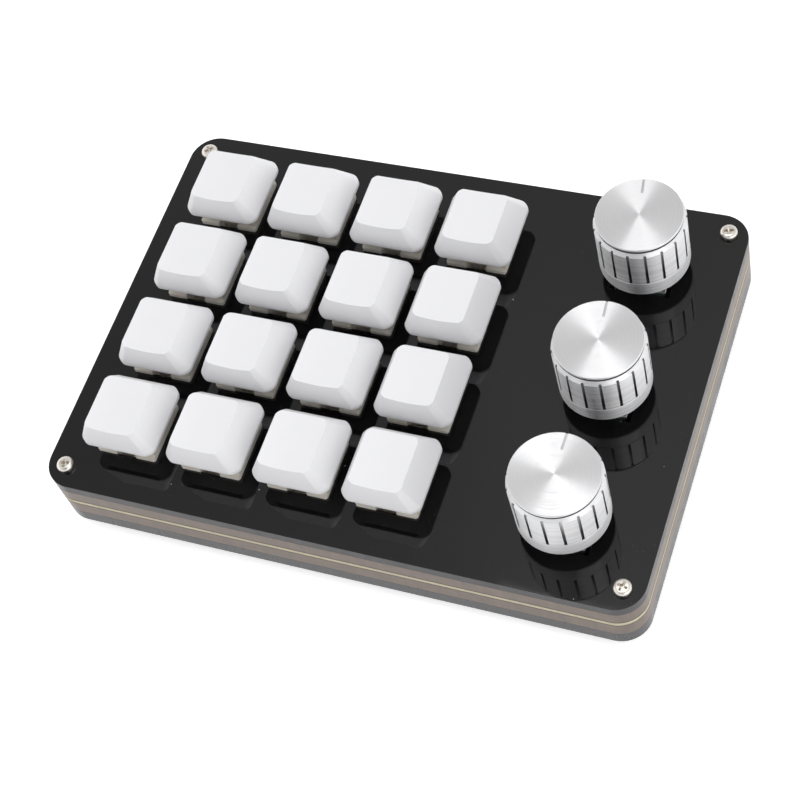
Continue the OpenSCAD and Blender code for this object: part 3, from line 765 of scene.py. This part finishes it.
class KEYPAD_OT_screws(bpy.types.Operator):
    """Builds the four pan-head screws with their cross recess and thread"""

    bl_idname = "keypad.screws"
    bl_label = "Screws"

    def execute(self, context):
        case = context.scene.keypad_case
        low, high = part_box("case_screws")
        screws = bmesh.new()
        single = stored("screw", screw(case, high.z - case.head - low.z))
        reach = (high.x - case.head_radius, high.y - case.head_radius)
        turn = SCREW_TURN
        for x in (-reach[0], reach[0]):
            for y in (-reach[1], reach[1]):
                first = len(screws.verts)
                screws.from_mesh(single)
                screws.verts.ensure_lookup_table()
                place = Matrix.Translation((x, y, high.z - case.head)) @ Matrix.Rotation(turn, 4, "Z")
                bmesh.ops.transform(screws, matrix=place, verts=screws.verts[first:])
                turn += SCREW_TURN_STEP
        bpy.data.meshes.remove(single)
        dress("pan_head_screws", screws, "case", "case_screws", ["nickel_screw"])
        return {"FINISHED"}


def screw(case, below):
    """A screw with its head's foot at the origin, as a bmesh."""
    radius, head, broken = case.head_radius, case.head, 0.1 * MM
    thread = []
    z = case.thread_start - below
    while z < case.thread_end - below:
        thread += [(case.crest, z), (case.root, z + case.pitch / 2)]
        z += case.pitch
    profile = [(0, -below), (case.shank_tip, -below), *thread, (case.shank, z), (case.shank, 0)]
    profile += [(radius - broken, 0), (radius, broken), (radius, head), (0, head)]
    bm = turned(profile, 40)
    bevel(bm, [edge for edge in sharp_edges(bm) if lies_at(edge, head)], case.head_round, 6)
    bmesh.ops.dissolve_faces(bm, faces=level_faces(bm, head))
    for half in (case.cross_width / 2, case.cross_length / 2):
        for side in (-half, half):
            for axis in (0, 1):
                cut(bm, level_faces(bm, head), axis, side)
    cross = []
    for face in level_faces(bm, head):
        near, far = sorted(abs(value) for value in face.calc_center_median().xy)
        if near < case.cross_width / 2 and far < case.cross_length / 2:
            cross.append(face)

    def sink(point):
        return Vector((point.x * case.cross_taper, point.y * case.cross_taper, point.z - case.cross_depth))

    pushed(bm, cross, sink)
    return bm


class KEYPAD_OT_keycaps(bpy.types.Operator):
    """Builds the sixteen keycaps with rounded edges and a hollow top"""

    bl_idname = "keypad.keycaps"
    bl_label = "Keycaps"

    def execute(self, context):
        cap = context.scene.keypad_keycap
        low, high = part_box("keycap_r1_c1")
        mesh = stored("keycap", keycap(cap, high - low))
        for key in KEYS:
            name = "keycap_" + key
            low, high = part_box(name)
            bm = opened(mesh)
            bmesh.ops.translate(bm, vec=((low.x + high.x) / 2, (low.y + high.y) / 2, low.z), verts=bm.verts)
            weigh(dress("fine_" + name, bm, "key_" + key, name, ["keycap_white"]))
        bpy.data.meshes.remove(mesh)
        return {"FINISHED"}


def keycap(cap, size):
    """A keycap centred on its skirt, as a bmesh."""
    bm = bmesh.new()
    rise = size.z - cap.rim
    bmesh.ops.create_cube(bm, size=1.0)
    bmesh.ops.scale(bm, vec=(size.x, size.y, rise), verts=bm.verts)
    bmesh.ops.translate(bm, vec=(0, 0, cap.rim + rise / 2), verts=bm.verts)
    top = [vert for vert in bm.verts if vert.co.z > size.z / 2]
    shift = cap.front_draft + cap.top_depth / 2 - size.y / 2
    bmesh.ops.scale(bm, vec=(cap.top_width / size.x, cap.top_depth / size.y, 1), verts=top)
    bmesh.ops.translate(bm, vec=(0, shift, 0), verts=top)
    upright = [edge for edge in bm.edges if abs(edge.verts[0].co.z - edge.verts[1].co.z) > rise / 2]
    bevel(bm, upright, cap.corner, 6, 0.4)
    for face in level_faces(bm, size.z):
        for vert in face.verts:
            side = math.copysign(cap.top_width / 2, vert.co.x)
            sharp = Vector((side, shift + math.copysign(cap.top_depth / 2, vert.co.y - shift)))
            vert.co.xy = sharp + (vert.co.xy - sharp) * cap.top_corner / cap.corner
    hollow_top(bm, cap, size, rise, shift)
    pushed(bm, level_faces(bm, cap.rim), lambda point: Vector((point.x, point.y, 0)))
    bevel(bm, [edge for edge in bm.edges if lies_at(edge, cap.rim)], cap.skirt_edge)
    bmesh.ops.inset_region(bm, faces=level_faces(bm, 0), thickness=cap.wall, use_even_offset=True)
    inner = min(level_faces(bm, 0), key=lambda face: max(abs(vert.co.x) for vert in face.verts))
    up = (cap.ceiling - cap.rim) / rise
    wide = (size.x + (cap.top_width - size.x) * up - 2 * cap.wall) / (size.x - 2 * cap.wall)
    deep = (size.y + (cap.top_depth - size.y) * up - 2 * cap.wall) / (size.y - 2 * cap.wall)
    pushed(bm, [inner], lambda point: Vector((point.x * wide, point.y * deep + shift * up, cap.ceiling)))
    socket_height = cap.ceiling + cap.socket_sunk - cap.socket_foot
    middle = Matrix.Translation((0, 0, cap.socket_foot + socket_height / 2))
    made = bmesh.ops.create_cone(
        bm, cap_ends=True, segments=32, radius1=cap.socket / 2, radius2=cap.socket / 2,
        depth=socket_height, matrix=middle,
    )
    foot = {face for vert in made["verts"] for face in vert.link_faces if face.normal.z < -0.9}
    bmesh.ops.inset_region(bm, faces=list(foot), thickness=cap.socket_wall, use_even_offset=True)
    foot = min(level_faces(bm, cap.socket_foot), key=lambda face: face.verts[0].co.length)
    pushed(bm, [foot], lambda point: point + Vector((0, 0, socket_height - cap.socket_end)))
    return bm


def hollow_top(bm, cap, size, rise, shift):
    """Sinks the top of a keycap to a hollow and rounds its edge."""
    places = {round(vert.co.x, 7) for face in level_faces(bm, size.z) for vert in face.verts}
    places |= {cap.top_width * (step / cap.strips - 0.5) for step in range(1, cap.strips)}
    for x in sorted(places):
        cut(bm, level_faces(bm, size.z), 0, x)
    top = level_faces(bm, size.z)
    at_brim = math.sqrt(cap.dish_radius**2 - (cap.top_width / 2) ** 2)
    for vert in {vert for face in top for vert in face.verts}:
        drop = math.sqrt(cap.dish_radius**2 - vert.co.x**2) - at_brim
        share = drop / rise
        vert.co.y += share * ((vert.co.y - shift) * size.y / cap.top_depth - vert.co.y)
        vert.co.x *= 1 + share * (size.x / cap.top_width - 1)
        vert.co.z -= drop
    edges = {edge for face in top for edge in face.edges}
    brim = [edge for edge in edges if sum(face in top for face in edge.link_faces) == 1]
    bevel(bm, brim, cap.edge, 4)


class KEYPAD_OT_springs(bpy.types.Operator):
    """Parts the return springs into one piece for each key"""

    bl_idname = "keypad.springs"
    bl_label = "Return springs"

    def execute(self, context):
        reach = 8 * MM  # A spring lies within this of its key's middle, and the next one doesn't
        for key, centre in zip(KEYS, key_centres()):
            bm = opened(frame["nodes"]["switch_springs"].data)
            merge(bm)
            others = [vert for vert in bm.verts if (vert.co.xy - centre).length > reach]
            bmesh.ops.delete(bm, geom=others, context="VERTS")
            name, steel = "fine_spring_" + key, "spring_steel"
            spring = dress(name, bm, "case", "switch_springs", [steel], sharp=60)
            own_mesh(spring)
        return {"FINISHED"}


class KEYPAD_OT_knobs(bpy.types.Operator):
    """Builds the three turned knobs with their slots, rim, groove and disc"""

    bl_idname = "keypad.knobs"
    bl_label = "Knobs"

    def execute(self, context):
        settings = context.scene.keypad_knob
        base = colours().aluminium
        for index, (turn, slot_turn) in enumerate(KNOB_TURNS, 1):
            name = f"knob_{index}"
            low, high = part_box(name)
            centre = (low + high) / 2
            metal, side, slot = f"knob_aluminium_{index}", f"knob_side_{index}", f"slot_floor_{index}"
            spun_metal(metal, centre, base, 0.36, 0.06)
            spun_metal(side, centre, base, 0.36, 0.2)
            foot = low.z + settings.band
            # The slot finish carries painted shade, darker towards the slots' foot
            slot_metal_painted_shade(slot, base, foot, high.z - foot - 2 * MM)
            bm = knob(settings, (high.x - low.x) / 2, high.z - low.z, math.radians(slot_turn))
            turned_by = Matrix.Rotation(math.radians(turn), 4, "Z")
            place = Matrix.Translation((centre.x, centre.y, low.z)) @ turned_by
            bmesh.ops.transform(bm, matrix=place, verts=bm.verts)
            finishes = [metal, "pointer_floor", slot, side, "groove_shade"]
            dress("fine_" + name, bm, name, name, finishes)
        return {"FINISHED"}


def knob(sizes, radius, height, slot_turn):
    """A knob with its foot at the origin, as a bmesh."""
    disc, disc_z = sizes.disc_radius, height - sizes.disc
    groove_z = disc_z - sizes.groove
    rim_z = groove_z - sizes.rim
    rim_radius = disc - sizes.disc_overhang
    slot_end = Vector((radius, rim_z)).lerp(Vector((rim_radius, groove_z)), sizes.slot_reach)
    line_z = sizes.band - 2 * sizes.line_half
    profile = [
        (0, sizes.hollow),
        (sizes.hollow_radius, sizes.hollow),
        (sizes.hollow_radius, 0),
        (radius - sizes.foot_edge, 0),
        (radius, sizes.foot_edge),
        (radius, line_z - sizes.line_half),
        (radius - sizes.line_depth, line_z),
        (radius, line_z + sizes.line_half),
        (radius, sizes.band),
        (radius, rim_z),
        (slot_end.x, slot_end.y),
        (rim_radius, groove_z),
        (disc - sizes.groove_depth, groove_z),
        (disc - sizes.groove_depth, disc_z),
        (disc, disc_z),
        (disc, height - sizes.disc_edge),
        (disc - sizes.disc_edge, height),
        (0, height),
    ]
    steps = sizes.slots * sizes.steps
    pitch = 2 * math.pi / sizes.slots
    first = slot_turn + 0.25 * pitch
    bm = turned(profile, steps, first - math.pi / steps)
    slots = []
    for face in bm.faces:
        middle = face.calc_center_median()
        around = (math.atan2(middle.y, middle.x) - first) % pitch
        in_column = min(around, pitch - around) < math.pi / steps * 0.6
        low = min(vert.co.z for vert in face.verts)
        high = max(vert.co.z for vert in face.verts)
        if in_column and low > sizes.band - TOUCH and high < slot_end.y + TOUCH:
            slots.append(face)

    def sink(point):
        flat = point.xy.normalized() * (radius - sizes.slot_depth)
        return Vector((flat.x, flat.y, point.z))

    for face in bm.faces:
        middle = face.calc_center_median()
        if groove_z - TOUCH < middle.z < disc_z - TOUCH and middle.xy.length < disc:
            face.material_index = GROOVE
        elif abs(face.normal.z) < 0.9 and middle.z < groove_z:
            face.material_index = SIDE
    for face in pushed(bm, slots, sink):
        for edge in face.edges:
            for other in edge.link_faces:
                other.material_index = SLOT
    bmesh.ops.dissolve_faces(bm, faces=level_faces(bm, height))
    engrave_pointer(bm, sizes, height)
    return bm


def engrave_pointer(bm, sizes, height):
    """Cuts the pointer line into the disc, from its inner end out through the edge."""
    half, wide = sizes.pointer_width / 2, 1 * MM
    floor = height - sizes.pointer_depth
    disc_z = height - sizes.disc

    def near(low, width):
        """Faces over a height, on the pointer's side, within a distance of its line."""
        found = []
        for face in bm.faces:
            middle = face.calc_center_median()
            reach = max(vert.co.y for vert in face.verts)
            above = min(vert.co.z for vert in face.verts) > low - TOUCH
            if above and abs(middle.x) < width and reach > half:
                found.append(face)
        return found

    for x in (-half, half):
        cut(bm, set(near(disc_z, wide) + level_faces(bm, height)), 0, x)
    cut(bm, near(disc_z, half), 2, floor)
    cut(bm, level_faces(bm, height), 1, sizes.pointer_start)
    line = [face for face in near(floor, half) if face.calc_center_median().y > sizes.pointer_start]
    for face in pushed(bm, line, lambda point: Vector((point.x, point.y, floor))):
        face.material_index = POINTER
    merge(bm)


class KEYPAD_OT_inner_parts(bpy.types.Operator):
    """Gives the parts that keep their CAD shape their finishes"""

    bl_idname = "keypad.inner_parts"
    bl_label = "Inner parts"

    def execute(self, context):
        slots = {part["node"]: part["material_slot"] for part in frame["record"]["subparts"]}
        for name, part in frame["nodes"].items():
            if slots[name] != "knob_aluminium":
                part.data.materials.clear()
                part.data.materials.append(finish(slots[name]))
        return {"FINISHED"}


class KEYPAD_OT_studio(bpy.types.Operator):
    """Lays the floor and sets the camera, the world and the lamps"""

    bl_idname = "keypad.studio"
    bl_label = "Studio"

    def execute(self, context):
        studio = context.scene.keypad_studio
        scene = context.scene
        scene.view_settings.view_transform = "Standard"
        data = bpy.data.cameras.new("Camera")
        data.lens = studio.lens
        data.sensor_width = 36
        data.clip_start = 0.01
        camera = scene.camera = placed("Camera", data)
        tilt = Matrix.Rotation(math.pi / 2 - studio.elevation, 4, "X")
        aim = Matrix.Rotation(studio.azimuth, 4, "Z") @ tilt
        camera.matrix_world = Matrix.Translation(studio.place) @ aim @ Matrix.Rotation(studio.roll, 4, "Z")
        lay_floor(studio)
        light_world(studio)
        hang_lamp("Overhead", studio.overhead, size=0.32, place=(0.03, 0.04, 0.62), target=(0.03, 0.04, 0))
        hang_lamp("Fill", studio.fill, size=0.5, place=(0.5, -0.4, 0.5), target=(0, 0, 0.02))
        return {"FINISHED"}


def hang_lamp(name, power, size, place, target):
    """A soft square lamp that faces a point."""
    data = bpy.data.lights.new(name, "AREA")
    data.energy = power
    data.size = size
    lamp = placed(name, data)
    lamp.location = place
    lamp.rotation_euler = (Vector(target) - Vector(place)).to_track_quat("-Z", "Y").to_euler()


def background_rays(tree):
    """One for the rays that see the background: straight, in gloss and through clear things."""
    rays = node(tree, "LightPath", {}).outputs
    seen = maths(tree, "ADD", rays["Is Camera Ray"], rays["Is Glossy Ray"], clamp=True)
    return maths(tree, "ADD", seen, rays["Is Transmission Ray"], clamp=True)


def lay_floor(studio):
    """A wide pale floor that looks white and keeps the keypad's shadow."""
    bm = bmesh.new()
    bmesh.ops.create_circle(bm, cap_ends=True, segments=64, radius=6.0)
    mesh = stored("Floor", bm)
    material = bpy.data.materials.new("pale_floor")
    material.use_nodes = True
    tree = material.node_tree
    glow = maths(tree, "MULTIPLY", background_rays(tree), studio.glow)
    look = {"Base Color": studio.floor, "Roughness": 0.9, "Emission Strength": 1.0, "Emission Color": glow}
    feed_all(tree, tree.nodes["Principled BSDF"], look)
    mesh.materials.append(material)
    placed("Floor", mesh)


def dark_patch(tree, direction, middle, level, outside, inside):
    """One all over the sky, and a lower level round one direction, between two cosines."""
    facing = Vector(middle).normalized()
    toward = node(tree, "VectorMath", {0: direction, 1: facing}, operation="DOT_PRODUCT")
    return spread(tree, toward.outputs["Value"], 1.0, level, outside, inside)


def light_world(studio):
    """Light from all round, stronger at the sides and with two dark patches, behind white."""
    world = bpy.data.worlds.new("Studio")
    bpy.context.scene.world = world
    world.use_nodes = True
    tree = world.node_tree
    tree.nodes.clear()
    direction = node(tree, "TexCoord", {}).outputs["Generated"]
    toward = parts_of(tree, direction)
    shade = node(tree, "ValToRGB", {"Fac": toward["Z"]})
    for place, level in SKY_LEVELS[1:-1]:
        shade.color_ramp.elements.new(place)
    for stop, (place, level) in zip(shade.color_ramp.elements, SKY_LEVELS):
        stop.position = place
        stop.color = (level, level, level, 1.0)
    wings = spread(tree, maths(tree, "ABSOLUTE", toward["X"]), *WINGS)
    strength = maths(tree, "MULTIPLY", maths(tree, "MULTIPLY", shade.outputs["Color"], wings), studio.sky)
    for patch in DARK_PATCHES:
        strength = maths(tree, "MULTIPLY", strength, dark_patch(tree, direction, *patch))
    light = node(tree, "Background", {"Color": (1, 1, 1), "Strength": strength})
    white = node(tree, "Background", {"Color": (1, 1, 1), "Strength": 1.0})
    seen = node(tree, "LightPath", {}).outputs["Is Camera Ray"]
    both = node(tree, "MixShader", {0: seen, 1: light.outputs[0], 2: white.outputs[0]})
    node(tree, "OutputWorld", {"Surface": both.outputs[0]})


OPERATORS = [
    KEYPAD_OT_layers,
    KEYPAD_OT_mouldings,
    KEYPAD_OT_screws,
    KEYPAD_OT_keycaps,
    KEYPAD_OT_springs,
    KEYPAD_OT_knobs,
    KEYPAD_OT_inner_parts,
    KEYPAD_OT_studio,
]


class KEYPAD_PT_panel(bpy.types.Panel):
    """Lists the keypad's pieces in the order in which they are built"""

    bl_label = "Keypad"
    bl_idname = "KEYPAD_PT_panel"
    bl_space_type = "VIEW_3D"
    bl_region_type = "UI"
    bl_category = "Keypad"

    def draw(self, context):
        for operator in OPERATORS:
            self.layout.operator(operator.bl_idname)
        for name, settings in SETTINGS.items():
            box = self.layout.box()
            for label in settings.__annotations__:
                box.prop(getattr(context.scene, name), label)


def register():
    for name, settings in SETTINGS.items():
        bpy.utils.register_class(settings)
        setattr(bpy.types.Scene, name, PointerProperty(type=settings))
    for operator in OPERATORS:
        bpy.utils.register_class(operator)
    bpy.utils.register_class(KEYPAD_PT_panel)


def unregister():
    bpy.utils.unregister_class(KEYPAD_PT_panel)
    for operator in reversed(OPERATORS):
        bpy.utils.unregister_class(operator)
    for name, settings in reversed(SETTINGS.items()):
        delattr(bpy.types.Scene, name)
        bpy.utils.unregister_class(settings)


def main():
    register()
    for operator in OPERATORS:
        getattr(bpy.ops.keypad, operator.bl_idname.split(".")[1])()


if __name__ == "__main__":
    main()
